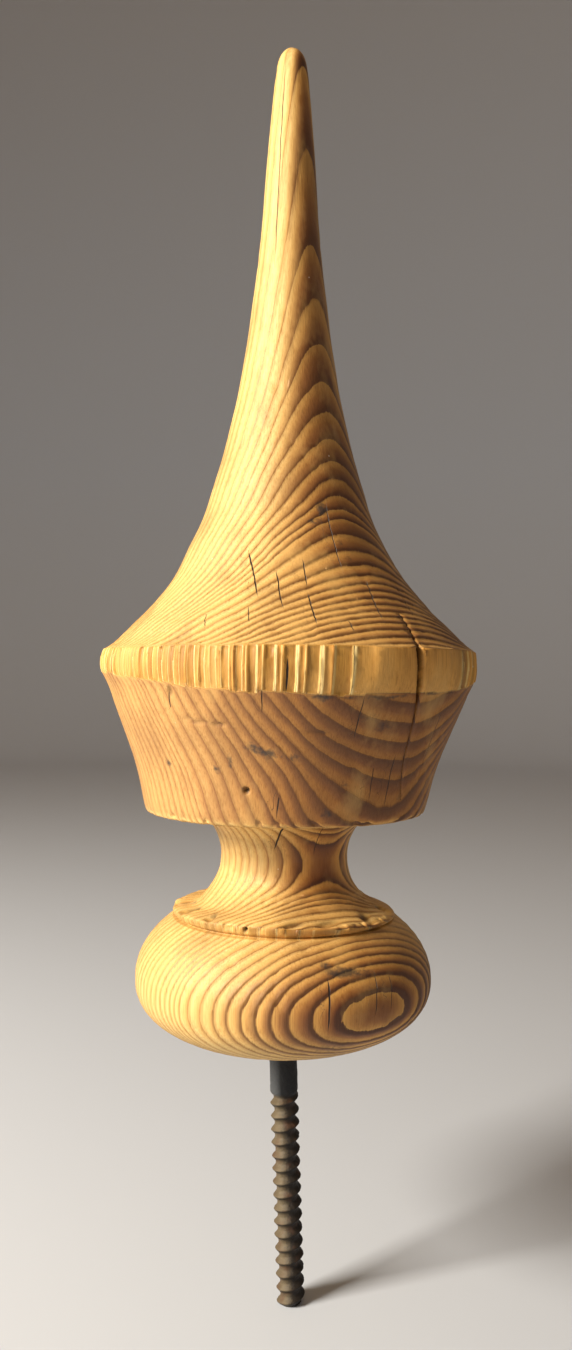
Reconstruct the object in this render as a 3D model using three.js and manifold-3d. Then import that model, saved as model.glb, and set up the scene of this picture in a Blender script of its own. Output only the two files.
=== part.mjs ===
// Turned softwood finial with the steel hanger bolt that holds it on a post.
// Millimetres, +Z up. The origin is the centre of the wood's flat seat, where it meets the post:
// the wood stands above z = 0 and the bolt's lower end hangs below it.
import * as THREE from 'three';
import * as BufferGeometryUtils from 'three/addons/utils/BufferGeometryUtils.js';
import Module from 'manifold-3d';

const wasm = await Module();
wasm.setup();

// ---- driving dimensions, mm ----
const finialHeight = 345;
const collarRadius = 65.4;
const collarTop = 134.4;
const collarBottom = 125.6;
const cupFootRadius = 48.5;
const cupFootHeight = 80;
const waistRadius = 22.1;
const waistHeight = 62.5;
const ledgeRadius = 38.4;
const ledgeTop = 45.3;
const ballRadius = 51.3;
const ballMiddle = 22.2;
const ballCrown = 31.1;
const ballUnderside = 22.8;
const ballCrownPower = 2;
const ballUndersidePower = 2.38;

const threadPitch = 4.6;
const threadCrest = 4.95;
const threadRoot = 3.6;
const shankRadius = 4.8;
const shankBottom = -20;
const shankTop = 8;
const boltBottom = -93;
const boltTop = 58;
const boltChamfer = 1;
const crestPosition = 0.4;
const flankWidth = 0.38;
const flankCurve = 1.3;
const boltLean = 2.4;
const fitGap = 0.3;

const checkAzimuth = 39;
const checkWidth = 3.2;
const checkDepth = 12;
const checkTop = 146;
const checkBottom = 92;

const wornFlatDepth = 1.8;
const wornFlatRadius = 75;
const wornBandHeight = 40;

const woodSegments = 48;
const wearSegments = 72;
const threadSegments = 18;
const stepsPerTurn = 8;
const shankStep = 7;

const woodMaterial = new THREE.MeshStandardMaterial({ color: 0xa8713a, roughness: 0.6, metalness: 0 });
const steelMaterial = new THREE.MeshStandardMaterial({ color: 0x6b5c4b, roughness: 0.7, metalness: 0.6 });

// Points of a smooth curve through a short list of [radius, height] points.
function smoothPoints(points, steps) {
  const curve = new THREE.SplineCurve(points.map(([r, z]) => new THREE.Vector2(r, z)));
  return curve.getPoints(steps);
}

// Points of a rounded bulge, a superellipse: r^n + z^n = 1 scaled to its own radius and height.
function bulgePoints(radius, height, power, fromAngle, toAngle, steps) {
  const points = [];
  for (let i = 0; i <= steps; i += 1) {
    const angle = fromAngle + ((toAngle - fromAngle) * i) / steps;
    const r = radius * Math.cos(angle) ** (2 / power);
    const z = height * Math.abs(Math.sin(angle)) ** (2 / power);
    points.push(new THREE.Vector2(r, ballMiddle + Math.sign(angle) * z));
  }
  return points;
}

// The angle at which a bulge has the given part of its full height.
function bulgeAngle(part, power) {
  return Math.asin(part ** (power / 2));
}

// Half outline of the wood, from the seat's centre up the outside to the tip.
function finialProfile() {
  const seatAngle = -bulgeAngle(ballMiddle / ballUnderside, ballUndersidePower);
  const ledgeFoot = Math.acos((ledgeRadius / ballRadius) ** (ballCrownPower / 2));
  const underside = bulgePoints(ballRadius, ballUnderside, ballUndersidePower, seatAngle, 0, 8);
  const crown = bulgePoints(ballRadius, ballCrown, ballCrownPower, 0, ledgeFoot, 5);
  const ledge = [
    new THREE.Vector2(ledgeRadius, ledgeTop),
    new THREE.Vector2(ledgeRadius - 0.7, ledgeTop + 0.8),
    new THREE.Vector2(ledgeRadius - 5.8, ledgeTop + 3),
  ];
  const neck = smoothPoints([
    [28.6, 50.6],
    [25.4, 53.3],
    [23.2, 56.8],
    [waistRadius, waistHeight],
    [22.8, 69],
    [24.9, 74],
    [28, 77.5],
  ], 8);
  const cup = [
    new THREE.Vector2(cupFootRadius - 2, cupFootHeight - 0.8),
    new THREE.Vector2(cupFootRadius, cupFootHeight + 1),
    new THREE.Vector2(62.2, 121.2),
    new THREE.Vector2(collarRadius - 1, collarBottom),
    new THREE.Vector2(collarRadius, collarBottom + 3),
  ];
  const spire = smoothPoints([
    [collarRadius, collarTop],
    [58.6, 138.8],
    [48.4, 149],
    [34.1, 170],
    [23, 201],
    [14.6, 243],
    [9.8, 285],
    [7.5, 317],
    [5.9, 334],
  ], 22);
  const tip = [
    new THREE.Vector2(5, 340),
    new THREE.Vector2(3.2, 343.6),
    new THREE.Vector2(0, finialHeight),
  ];
  underside[0].y = 0;
  return [
    new THREE.Vector2(0, 0),
    ...underside,
    ...crown.slice(1),
    ...ledge,
    ...neck,
    ...cup,
    ...spire,
    ...tip,
  ];
}

// A closed mesh as a solid for joining and cutting.
function toSolid(geometry) {
  const bare = geometry.clone();
  bare.deleteAttribute('normal');
  bare.deleteAttribute('uv');
  const merged = BufferGeometryUtils.mergeVertices(bare, 1e-4);
  const vertProperties = new Float32Array(merged.attributes.position.array);
  const triVerts = new Uint32Array(merged.index.array);
  return new wasm.Manifold(new wasm.Mesh({ numProp: 3, vertProperties, triVerts }));
}

function toGeometry(solid) {
  const mesh = solid.getMesh();
  const geometry = new THREE.BufferGeometry();
  geometry.setAttribute('position', new THREE.BufferAttribute(mesh.vertProperties, 3));
  geometry.setIndex(new THREE.BufferAttribute(mesh.triVerts, 1));
  geometry.computeVertexNormals();
  return geometry;
}

// A turned shape: the profile runs [radius, height] from the bottom of the axis to its top.
function turned(profile, segments) {
  const geometry = new THREE.LatheGeometry(profile, segments);
  geometry.rotateX(Math.PI / 2);
  return geometry;
}

// How far out the thread stands at a point of its pitch, 0 on the wide root and 1 at the thin crest.
function threadForm(turnPart) {
  const away = Math.abs(turnPart - crestPosition);
  const fromCrest = Math.min(away, 1 - away);
  return Math.max(0, 1 - fromCrest / flankWidth) ** flankCurve;
}

// Heights of the rings of a threaded length, with the same number of rings on every turn.
function threadHeights(bottom, top) {
  const count = Math.round(((top - bottom) / threadPitch) * stepsPerTurn);
  return Array.from({ length: count + 1 }, (_, i) => bottom + ((top - bottom) * i) / count);
}

// The bolt with both threads cut: the turned blank's rings move in to the right-hand helix.
// It stands a little askew, turned about the seat's centre so that its lower end points to +X.
// `extra` grows it all round, which gives the hole that it leaves in the wood.
function boltGeometry(extra) {
  const lower = threadHeights(boltBottom + boltChamfer, shankBottom);
  const upper = threadHeights(shankTop, boltTop - boltChamfer + extra);
  const shank = [];
  for (let z = shankBottom + shankStep; z < shankTop - 1; z += shankStep) {
    shank.push(z);
  }
  const body = [...lower, ...shank, ...upper];
  const endRadius = threadCrest - boltChamfer + extra;
  const profile = [
    new THREE.Vector2(0, boltBottom),
    new THREE.Vector2(endRadius, boltBottom),
    ...body.map((z) => new THREE.Vector2(shankRadius + extra, z)),
    new THREE.Vector2(endRadius, boltTop + extra),
    new THREE.Vector2(0, boltTop + extra),
  ];
  const geometry = turned(profile, threadSegments);
  const position = geometry.attributes.position;
  for (let i = 0; i < position.count; i += 1) {
    const x = position.getX(i);
    const y = position.getY(i);
    const z = position.getZ(i);
    const radius = Math.hypot(x, y);
    const onThread = z <= shankBottom || z >= shankTop;
    if (onThread && radius > shankRadius + extra - 0.01) {
      const turn = z / threadPitch - Math.atan2(y, x) / (2 * Math.PI);
      const stand = threadForm(turn - Math.floor(turn));
      const cut = threadRoot + (threadCrest - threadRoot) * stand + extra;
      position.setXYZ(i, (x * cut) / radius, (y * cut) / radius, z);
    }
  }
  geometry.rotateY(-THREE.MathUtils.degToRad(boltLean));
  return geometry;
}

// The drying check: a thin wedge, open at the cup's surface and closing towards the heart.
function dryingCheck() {
  const outline = new THREE.Shape();
  outline.moveTo(collarRadius - checkDepth, 0);
  outline.lineTo(collarRadius + 5, -checkWidth / 2);
  outline.lineTo(collarRadius + 5, checkWidth / 2);
  outline.closePath();
  const geometry = new THREE.ExtrudeGeometry(outline, { depth: checkTop - checkBottom, bevelEnabled: false });
  geometry.translate(0, 0, checkBottom);
  geometry.rotateZ(THREE.MathUtils.degToRad(checkAzimuth - 90));
  return geometry;
}

// A band cylinder set back from the front, which leaves the collar worn flatter there.
function collarWear() {
  const geometry = new THREE.CylinderGeometry(wornFlatRadius, wornFlatRadius, wornBandHeight, wearSegments);
  geometry.rotateX(Math.PI / 2);
  geometry.translate(0, wornFlatRadius - collarRadius + wornFlatDepth, (collarTop + collarBottom) / 2);
  return geometry;
}

function finialBody() {
  const blank = toSolid(turned(finialProfile(), woodSegments));
  const slabWidth = 4 * collarRadius;
  const collarSlab = new THREE.BoxGeometry(slabWidth, slabWidth, wornBandHeight);
  collarSlab.translate(0, 0, (collarTop + collarBottom) / 2);
  const worn = toSolid(collarSlab).subtract(toSolid(collarWear()));
  const hole = toSolid(boltGeometry(fitGap));
  const wood = blank.subtract(worn).subtract(hole).subtract(toSolid(dryingCheck()));
  return new THREE.Mesh(toGeometry(wood), woodMaterial);
}

function hangerBolt() {
  return new THREE.Mesh(boltGeometry(0), steelMaterial);
}

const group = new THREE.Group();

const wood = finialBody();
wood.name = 'finial_body';
group.add(wood);

const bolt = hangerBolt();
bolt.name = 'hanger_bolt';
group.add(bolt);

export default group;
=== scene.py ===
# Turned pine finial on its hanger bolt, upright over a pale floor under one large soft lamp.
# Shapes are worked out in millimetres and put into Blender in metres, in the frame's own axes:
# +Z up the turning axis, -Y towards the worn front, the wood's flat seat at z = 0.
import math

import bpy
import numpy as np
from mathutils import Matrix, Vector


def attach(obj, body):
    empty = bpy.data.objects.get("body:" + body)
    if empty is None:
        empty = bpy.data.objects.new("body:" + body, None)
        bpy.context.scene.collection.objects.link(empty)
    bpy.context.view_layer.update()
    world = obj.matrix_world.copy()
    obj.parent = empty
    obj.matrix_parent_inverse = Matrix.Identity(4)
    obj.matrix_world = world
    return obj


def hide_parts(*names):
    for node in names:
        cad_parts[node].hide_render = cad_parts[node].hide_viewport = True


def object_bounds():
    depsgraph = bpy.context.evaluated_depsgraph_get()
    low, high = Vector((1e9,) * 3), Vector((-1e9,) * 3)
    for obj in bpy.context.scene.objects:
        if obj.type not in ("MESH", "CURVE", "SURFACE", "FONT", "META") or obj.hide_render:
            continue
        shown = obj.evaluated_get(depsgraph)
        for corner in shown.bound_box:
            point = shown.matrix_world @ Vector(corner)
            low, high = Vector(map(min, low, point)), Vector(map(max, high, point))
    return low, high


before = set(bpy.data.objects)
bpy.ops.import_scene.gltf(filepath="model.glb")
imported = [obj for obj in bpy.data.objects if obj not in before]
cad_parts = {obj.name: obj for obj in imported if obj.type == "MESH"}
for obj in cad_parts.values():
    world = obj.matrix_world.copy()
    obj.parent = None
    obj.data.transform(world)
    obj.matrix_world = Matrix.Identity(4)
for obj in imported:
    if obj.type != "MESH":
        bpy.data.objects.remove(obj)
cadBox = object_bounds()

mm = 0.001
scene = bpy.context.scene


def toLinear(hexColour):
    # sRGB hex to the linear RGBA that Blender's sockets hold
    srgb = np.array([int(hexColour[i:i + 2], 16) for i in (1, 3, 5)]) / 255
    linear = np.where(srgb <= 0.04045, srgb / 12.92, ((srgb + 0.055) / 1.055) ** 2.4)
    return (*linear.tolist(), 1.0)


def addNode(tree, kind, inputs=None, output=0, **settings):
    # one node with its settings; an input is a number, a colour or another node's socket
    node = tree.nodes.new(kind)
    for name, value in settings.items():
        setattr(node, name, value)
    for name, value in (inputs or {}).items():
        if isinstance(value, bpy.types.NodeSocket):
            tree.links.new(value, node.inputs[name])
        else:
            node.inputs[name].default_value = value
    return node.outputs[output] if node.outputs else node


def setRamp(socket, stops, interpolation="LINEAR"):
    # stops are (position, hex colour) pairs of the ColorRamp that owns the socket
    ramp = socket.node.color_ramp
    ramp.interpolation = interpolation
    while len(ramp.elements) < len(stops):
        ramp.elements.new(0.5)
    for element, (position, colour) in zip(ramp.elements, stops):
        element.position = position
        element.color = toLinear(colour)
    return socket


def newMaterial(name):
    # a material with an empty node tree
    material = bpy.data.materials.new(name)
    material.use_nodes = True
    tree = material.node_tree
    tree.nodes.clear()
    return material, tree


cameraView = {
    "lens": 28.0,             # mm on a 36 mm long side
    "distance": 0.3675,       # from the turning axis
    "height": 0.126,          # above the seat, level with the collar
    "lean": 0.58,             # degrees that the object leans to the right in the frame
}


def makeCamera(view):
    # a level camera in front, rolled a little, so that the object leans in the frame
    data = bpy.data.cameras.new("camera")
    data.lens = view["lens"]
    data.sensor_width = 36.0
    data.sensor_fit = "AUTO"
    data.clip_start = 0.01
    camera = bpy.data.objects.new("camera", data)
    camera.location = (0.0, -view["distance"], view["height"])
    camera.rotation_euler = (math.pi / 2, -math.radians(view["lean"]), 0.0)
    scene.collection.objects.link(camera)
    scene.camera = camera


makeCamera(cameraView)
scene.view_settings.view_transform = "Standard"
print("camera ready")


def gridMesh(name, points, firstPole, lastPole):
    # points is rows x columns x 3 in mm; the columns close round the axis, and each end of the
    # rows closes on one pole point, so the surface is one closed shell
    rows, columns = points.shape[:2]
    vertices = np.vstack([points.reshape(-1, 3), firstPole, lastPole]) * mm
    row = np.arange(rows - 1)[:, None] * columns
    column = np.arange(columns)[None, :]
    nextColumn = (column + 1) % columns
    quads = np.stack([
        row + column, row + nextColumn, row + columns + nextColumn, row + columns + column,
    ], axis=-1).reshape(-1, 4)
    around = np.arange(columns)
    following = (around + 1) % columns
    last = (rows - 1) * columns
    bottomFan = np.stack([np.full(columns, rows * columns), following, around], axis=-1)
    topFan = np.stack([np.full(columns, rows * columns + 1), last + around, last + following], axis=-1)
    loops = np.concatenate([quads.ravel(), bottomFan.ravel(), topFan.ravel()])
    sizes = np.concatenate([np.full(len(quads), 4), np.full(2 * columns, 3)])
    starts = np.concatenate([[0], np.cumsum(sizes)[:-1]])
    mesh = bpy.data.meshes.new(name)
    mesh.vertices.add(len(vertices))
    mesh.vertices.foreach_set("co", vertices.astype(np.float32).ravel())
    mesh.loops.add(len(loops))
    mesh.loops.foreach_set("vertex_index", loops.astype(np.int32))
    mesh.polygons.add(len(sizes))
    mesh.polygons.foreach_set("loop_start", starts.astype(np.int32))
    mesh.update(calc_edges=True)
    mesh.shade_smooth()
    return mesh


def addAttribute(mesh, name, values):
    # one number per vertex; where a grid has no number for its two poles they take their row's mean
    full = np.asarray(values, float).ravel()
    if len(full) < len(mesh.vertices):
        full = np.concatenate([full, [values[0].mean(), values[-1].mean()]])
    attribute = mesh.attributes.new(name, "FLOAT", "POINT")
    attribute.data.foreach_set("value", full.astype(np.float32))


def addPiece(name, mesh, material, node):
    # a finished mesh in place of its CAD node
    piece = bpy.data.objects.new(name, mesh)
    scene.collection.objects.link(piece)
    mesh.materials.append(material)
    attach(piece, "root")
    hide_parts(node)
    return piece


def smoothLine(points, step):
    # a Catmull-Rom curve through [radius, height] points, sampled evenly along its chords
    knots = np.array(points, float)
    ends = np.vstack([2 * knots[0] - knots[1], knots, 2 * knots[-1] - knots[-2]])
    along = np.concatenate([[0], np.cumsum(np.hypot(*np.diff(knots, axis=0).T))])
    count = max(2, round(along[-1] / step))
    place = np.interp(np.linspace(0, along[-1], count + 1), along, np.arange(len(knots)))
    index = np.minimum(place.astype(int), len(knots) - 2)
    t = (place - index)[:, None]
    a, b, c, d = ends[index], ends[index + 1], ends[index + 2], ends[index + 3]
    return 0.5 * (2 * b + (c - a) * t + (2 * a - 5 * b + 4 * c - d) * t ** 2
                  + (3 * b - a - 3 * c + d) * t ** 3)


def smoothStep(low, high, value):
    t = np.clip((value - low) / (high - low), 0, 1)
    return t * t * (3 - 2 * t)


def waves(x, y, z, across, along, count, seed):
    # smooth noise of about -1 to 1: a sum of seeded sine waves, `across` mm long over the grain
    # and `along` mm long up the grain
    draw = np.random.default_rng(seed)
    total = np.zeros(np.broadcast(x, y, z).shape)
    for _ in range(count):
        turn = draw.uniform(0, 2 * math.pi)
        stretch = draw.uniform(0.7, 1.4)
        shift = draw.uniform(0, 2 * math.pi)
        lift = draw.uniform(-1, 1)
        flat = (x * math.cos(turn) + y * math.sin(turn)) / across
        total += np.sin(2 * math.pi * stretch * (flat + lift * z / along) + shift)
    return total / math.sqrt(count)


timber = {
    "pithFoot": (-42.0, 60.2),    # x, y where the tree's heart line passes the seat, left and behind
    "pithTip": (-43.8, 48.0),     # and the tip
    "height": 345.0,
    "fromPith": (0, 45, 62, 72, 80, 90, 97, 99.6, 101, 108, 115, 125, 130, 132.1, 134.0, 134.2, 145),
    "ringWidth": (5.5, 4.4, 3.0, 3.7, 2.6, 2.5, 1.7, 1.4, 3.1, 2.7, 2.0, 2.0, 2.6, 2.1, 2.0, 8.5, 8.5),
    "firstRing": -0.42,
    "slowWander": 0.16,           # mm that a ring strays from round
    "quickWander": 0.05,
}


def fromHeart(x, y, z):
    # the level line from the leaning heart line out to a point: its length and its two parts
    climb = z / timber["height"]
    foot, tip = timber["pithFoot"], timber["pithTip"]
    outX = x - foot[0] - (tip[0] - foot[0]) * climb
    outY = y - foot[1] - (tip[1] - foot[1]) * climb
    return np.hypot(outX, outY), outX, outY


def ringsWithin(distance):
    # growth rings inside a distance from the heart line: the running sum of 1 / ring width
    radii = np.linspace(0, 160, 3201)
    widths = np.interp(radii, timber["fromPith"], timber["ringWidth"])
    counts = np.cumsum(1 / widths) * (radii[1] - radii[0])
    return np.interp(distance, radii, counts) + timber["firstRing"]


def ringCount(x, y, z):
    # the count at each point's distance from the heart line, which two seeded waves make stray
    distance = fromHeart(x, y, z)[0]
    distance = distance + timber["slowWander"] * waves(x, y, z, 24, 110, 6, 3)
    distance = distance + timber["quickWander"] * waves(x, y, z, 5, 20, 6, 5)
    return ringsWithin(distance)


def woodRings(azimuth, x, y, z, fresh):
    # the count at each point, but on the worn band and the ledge's face the count on one upright
    # line, so that their panels stand straight
    turn = np.radians(azimuth)
    onLedge = z < finial["neck"][0][1]
    flush = np.where(onLedge, finial["ledgeRadius"], finial["bandGrainRadius"])
    middle = np.where(onLedge, finial["ledgeTop"][0][1], finial["bandGrainHeight"])
    shift = np.where(onLedge, 0, finial["driedShift"])
    upright = ringCount(flush * np.sin(turn) + shift, -flush * np.cos(turn), middle + 0.3 * (z - middle))
    return np.where(fresh > 0.5, upright, ringCount(x, y, z))


finial = {                        # mm; outlines are (radius, height) points
    "height": 345.0,
    "boreTop": 58.8,
    "boreRadius": 5.35,
    "seatBore": 5.2,
    "boreLean": 2.4,              # degrees, as the bolt
    "ballRadius": 51.3,           # the foot's round bulge
    "ballMiddle": 22.2,
    "ballCrown": 31.1,
    "ballUnderside": 22.8,
    "undersidePower": 2.38,
    "ledgeRadius": 38.7,
    "ledgeFace": ((38.5, 42.7), (37.2, 42.9), (37.0, 43.2), (37.9, 43.6), (38.3, 44.1), (38.6, 45.2)),
    "ledgeTop": ((38.6, 45.2), (38.0, 46.0), (35.8, 47.0), (32.6, 48.3), (29.8, 49.9), (27.6, 51.5)),
    "ledgeRise": (-15.0, 35.0, 1.2),    # the rim's high place: azimuth, half width, and mm
    "ledgeDrop": (105.0, 1.7),          # the rim's low side: azimuth and mm
    "ledgeBowl": (-105.0, 30.0, 2.2),   # worn hollow on top: azimuth, radius and mm
    "neck": ((26.2, 52.7), (24.6, 54.4), (23.3, 56.6), (22.4, 59.4), (22.1, 62.4), (22.1, 65.2), (22.9, 69.0),
             (24.8, 73.1), (28.0, 76.4), (34.0, 78.3), (42.0, 78.9), (46.6, 79.0)),
    "rim": ((46.6, 79.0), (47.8, 79.3), (48.4, 80.2), (48.9, 81.8)),
    "cup": ((48.9, 81.8), (52.6, 96.3), (59.9, 115.2), (62.3, 121.4), (64.5, 125.7), (65.1, 127.2)),
    "flare": ((66.0, 133.0), (63.9, 134.4), (61.5, 136.0), (59.2, 138.0), (54.9, 142.4), (48.3, 149.0),
              (40.2, 159.0), (34.2, 170.0), (29.5, 180.0), (26.1, 191.0), (23.1, 201.0), (20.4, 212.0),
              (18.1, 222.0), (16.2, 233.0), (14.6, 243.0), (13.2, 254.0), (11.9, 264.0), (10.7, 275.0),
              (9.8, 285.0), (9.1, 296.0), (8.4, 306.0), (7.5, 317.0), (6.6, 327.0), (5.9, 334.0)),
    "tip": ((5.9, 334.0), (5.5, 337.0), (5.0, 339.8), (4.2, 342.0), (3.0, 343.7), (1.6, 344.7), (0.5, 345.0)),
    "wornSide": 18.0,             # degrees right of the front, where the collar is worn most
    "collarFoot": (120.5, 6.4, 6.0),    # lowest edge, its climb by the quarter turn, and the climb's limit
    "collarHead": (134.9, 0.6),         # highest edge, and its drop by the quarter turn
    "collarBelly": 0.8,
    "bandGrainRadius": 65.3,      # where the band's upright rings are read
    "bandGrainHeight": 128.0,
    "flareFoot": 138.0,
    "driedShift": 1.4,            # mm that the cup has moved to the right in drying
    # height, and how deep the soft wood is worn between the rings there
    "ringWear": ((0, 0.1), (6, 0.18), (38, 0.24), (42, 0.14), (42.8, 0.0), (45.2, 0.0), (46.8, 0.38),
                 (52, 0.36), (60, 0.08), (70, 0.10), (79, 0.3), (83, 0.05), (118, 0.06), (133, 0.42),
                 (152, 0.34), (175, 0.16), (215, 0.07), (330, 0.05), (345, 0.03)),
    "rowStep": 0.52,
    "columns": 860,
    "triangles": 196000,          # left after thinning
}

mainCheck = {                     # the one wide drying check, by height from its foot
    "height": (86.0, 92.0, 100.0, 109.0, 116.0, 120.5, 123.5, 134.4, 135.6, 140.0, 146.0),
    "azimuth": (47.2, 45.0, 42.6, 41.6, 40.6, 39.4, 39.0, 38.2, 38.8, 40.6, 42.0),
    "width": (0.0, 0.35, 0.6, 0.95, 1.35, 2.0, 2.6, 2.7, 1.3, 0.7, 0.0),
    "depth": 9.0,
}

# fine drying checks: (azimuth, height) of the foot and the head, and the width in mm
fineChecks = (
    ((-11.5, 149.0), (-21.0, 166.5), 0.55), ((-2.0, 145.5), (-6.5, 159.5), 0.4),
    ((8.0, 140.5), (6.5, 152.0), 0.45), ((6.8, 153.0), (5.8, 163.0), 0.4),
    ((24.5, 158.0), (26.0, 183.0), 0.35), ((31.5, 142.0), (35.0, 157.0), 0.45),
    ((-13.0, 141.5), (-15.0, 147.0), 0.35), ((19.0, 139.0), (18.5, 143.0), 0.35),
    ((48.0, 143.0), (55.0, 157.0), 0.3), ((-27.0, 139.5), (-30.0, 145.0), 0.3),
    ((-1.0, 120.5), (-1.0, 131.5), 0.7), ((-7.5, 114.5), (-7.3, 122.5), 0.35),
    ((20.5, 106.0), (20.8, 121.0), 0.3), ((31.0, 87.0), (30.0, 99.0), 0.3),
    ((38.5, 84.0), (38.0, 103.0), 0.35), ((-37.0, 114.5), (-36.6, 121.0), 0.35),
    ((55.0, 96.0), (54.0, 117.0), 0.3), ((-3.0, 82.0), (-2.0, 92.0), 0.4),
    ((-8.0, 68.0), (0.5, 79.0), 0.65), ((26.0, 66.0), (28.0, 78.0), 0.3),
    ((16.0, 17.5), (17.0, 34.0), 0.6), ((34.0, 20.0), (36.6, 34.0), 0.35),
    ((41.5, 20.0), (43.4, 33.0), 0.3), ((58.0, 8.0), (60.0, 22.0), 0.3),
    ((118.0, 96.0), (121.0, 150.0), 0.6), ((163.0, 138.0), (166.0, 171.0), 0.5),
    ((-128.0, 84.0), (-131.0, 112.0), 0.5), ((-160.0, 10.0), (-158.0, 36.0), 0.6),
    ((96.0, 12.0), (99.0, 34.0), 0.5), ((-92.0, 139.0), (-96.0, 160.0), 0.4),
    ((140.0, 60.0), (143.0, 78.0), 0.5), ((-172.0, 180.0), (-168.0, 230.0), 0.4),
    ((-29.0, 262.0), (-25.0, 342.0), 0.3),
)

# blue-black iron and mould stains, and a painted shadow line under the worn band: azimuth, height, half width
# and half height in mm, strength
stainAndShadows = (
    (-44.5, 98.0, 1.6, 1.6, 0.8), (-23.5, 97.0, 1.5, 1.6, 0.8), (-18.5, 99.8, 1.1, 3.4, 0.7),
    (-11.0, 104.3, 3.2, 1.2, 0.9), (-6.5, 102.6, 3.6, 1.7, 1.0), (2.0, 101.5, 4.5, 0.8, 0.75),
    (-43.0, 103.5, 3.2, 0.9, 0.4), (20.0, 92.0, 3.5, 1.6, 0.5), (22.0, 180.0, 2.4, 2.4, 0.95),
    (16.0, 175.5, 3.4, 1.3, 0.7), (29.0, 168.5, 1.4, 1.6, 0.6), (31.0, 163.5, 1.8, 1.4, 0.65),
    (29.5, 110.5, 3.4, 1.6, 0.7), (24.0, 113.5, 6.0, 1.8, 0.45), (15.0, 84.2, 2.6, 2.0, 0.75),
    (21.0, 34.5, 5.0, 1.7, 0.85), (30.0, 33.5, 6.5, 1.5, 0.7), (16.5, 36.5, 2.0, 1.0, 0.7),
    (19.0, 11.0, 8.0, 3.0, 0.45), (46.0, 88.0, 3.0, 2.0, 0.4), (6.0, 120.0, 5.0, 2.0, 0.3),
    (150.0, 104.0, 5.0, 2.0, 0.7), (-120.0, 94.0, 3.0, 2.0, 0.7), (100.0, 160.0, 4.0, 2.0, 0.6),
    # from (9.0, 119.7) on: a row just under the worn band's foot on the right, a painted shadow line below
    # the band's edge
    (-150.0, 32.0, 5.0, 2.0, 0.6), (78.0, 28.0, 4.0, 2.0, 0.5), (9.0, 119.7, 4.0, 0.7, 0.8),
    (17.5, 119.5, 5.0, 0.6, 0.75), (27.0, 119.6, 5.5, 0.7, 0.95), (34.0, 120.0, 3.0, 0.7, 0.8),
    (45.0, 120.8, 4.5, 0.7, 0.85), (55.0, 121.2, 3.0, 0.6, 0.7),
)

# small pits and torn chips: azimuth, height, half width, half height, depth in mm
pits = (
    (-13.6, 90.9, 1.0, 0.9, 1.5), (-18.2, 45.6, 0.7, 0.8, 1.6), (-84.0, 46.4, 1.6, 0.9, 2.0),
    (-35.8, 120.8, 0.9, 1.6, 0.8), (-40.5, 47.2, 1.6, 0.7, 1.1), (-64.0, 46.6, 2.0, 0.9, 1.3),
    (5.0, 47.0, 3.0, 0.7, 0.9), (23.0, 46.8, 4.0, 0.6, 0.8), (52.0, 46.0, 2.4, 1.1, 1.2),
    (-27.5, 111.5, 3.2, 0.6, 0.5), (-21.0, 111.0, 2.4, 0.6, 0.6), (-31.0, 112.5, 2.0, 0.5, 0.4),
    (9.0, 109.0, 3.4, 0.6, 0.35), (120.0, 46.5, 3.0, 1.0, 1.3), (-140.0, 46.5, 2.5, 1.0, 1.2),
    (-96.0, 131.0, 1.4, 1.6, 1.0), (152.0, 128.0, 2.2, 2.0, 1.4), (80.0, 45.8, 2.0, 1.0, 1.2),
)


def columnAzimuths():
    # degrees from the front, positive to the right: closer together over the front half, and
    # closest where the main check runs
    turn = np.linspace(-180, 180, 7201)
    density = 1 + 5.0 * np.exp(-((turn - 40.0) / 3.0) ** 2) + 0.45 * (np.abs(turn) < 95)
    share = np.concatenate([[0], np.cumsum((density[1:] + density[:-1]) / 2)])
    return np.interp(np.arange(finial["columns"]) / finial["columns"], share / share[-1], turn)


def ballRows(step):
    # a superellipse bulge from the flat seat up to the foot of the ledge
    f = finial
    seatAngle = -math.asin((f["ballMiddle"] / f["ballUnderside"]) ** (f["undersidePower"] / 2))
    ledgeAngle = math.acos(f["ledgeRadius"] / f["ballRadius"])
    angle = np.linspace(seatAngle, ledgeAngle, round(86 / step))
    under = angle < 0
    power = np.where(under, 2 / f["undersidePower"], 1.0)
    tall = np.where(under, f["ballUnderside"], f["ballCrown"])
    radius = f["ballRadius"] * np.cos(angle) ** power
    height = f["ballMiddle"] + np.sign(angle) * tall * np.abs(np.sin(angle)) ** power
    return np.stack([radius, np.maximum(height, 0)], axis=-1)


def raggedEdge(azimuth, seed, count):
    # a splintered edge: steps of seeded size and length round the turn, from -1 to 1
    draw = np.random.default_rng(seed)
    edges = np.sort(draw.uniform(-180, 180, count))
    return draw.uniform(-1, 1, count + 1)[np.searchsorted(edges, azimuth)]


def bandEdges(azimuth):
    # heights of the worn band's ragged edges in every column: tallest on the worn side, and
    # narrower by 1 - cos of the angle away from it
    away = 1 - np.cos(np.radians(azimuth - finial["wornSide"]))
    low, climb, limit = finial["collarFoot"]
    high, drop = finial["collarHead"]
    footZ = low + np.minimum(climb * away, limit) + 0.6 * raggedEdge(azimuth, 12, 110)
    headZ = high - drop * np.minimum(away, 1) + 0.25 * raggedEdge(azimuth, 8, 70)
    return footZ, headZ


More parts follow.
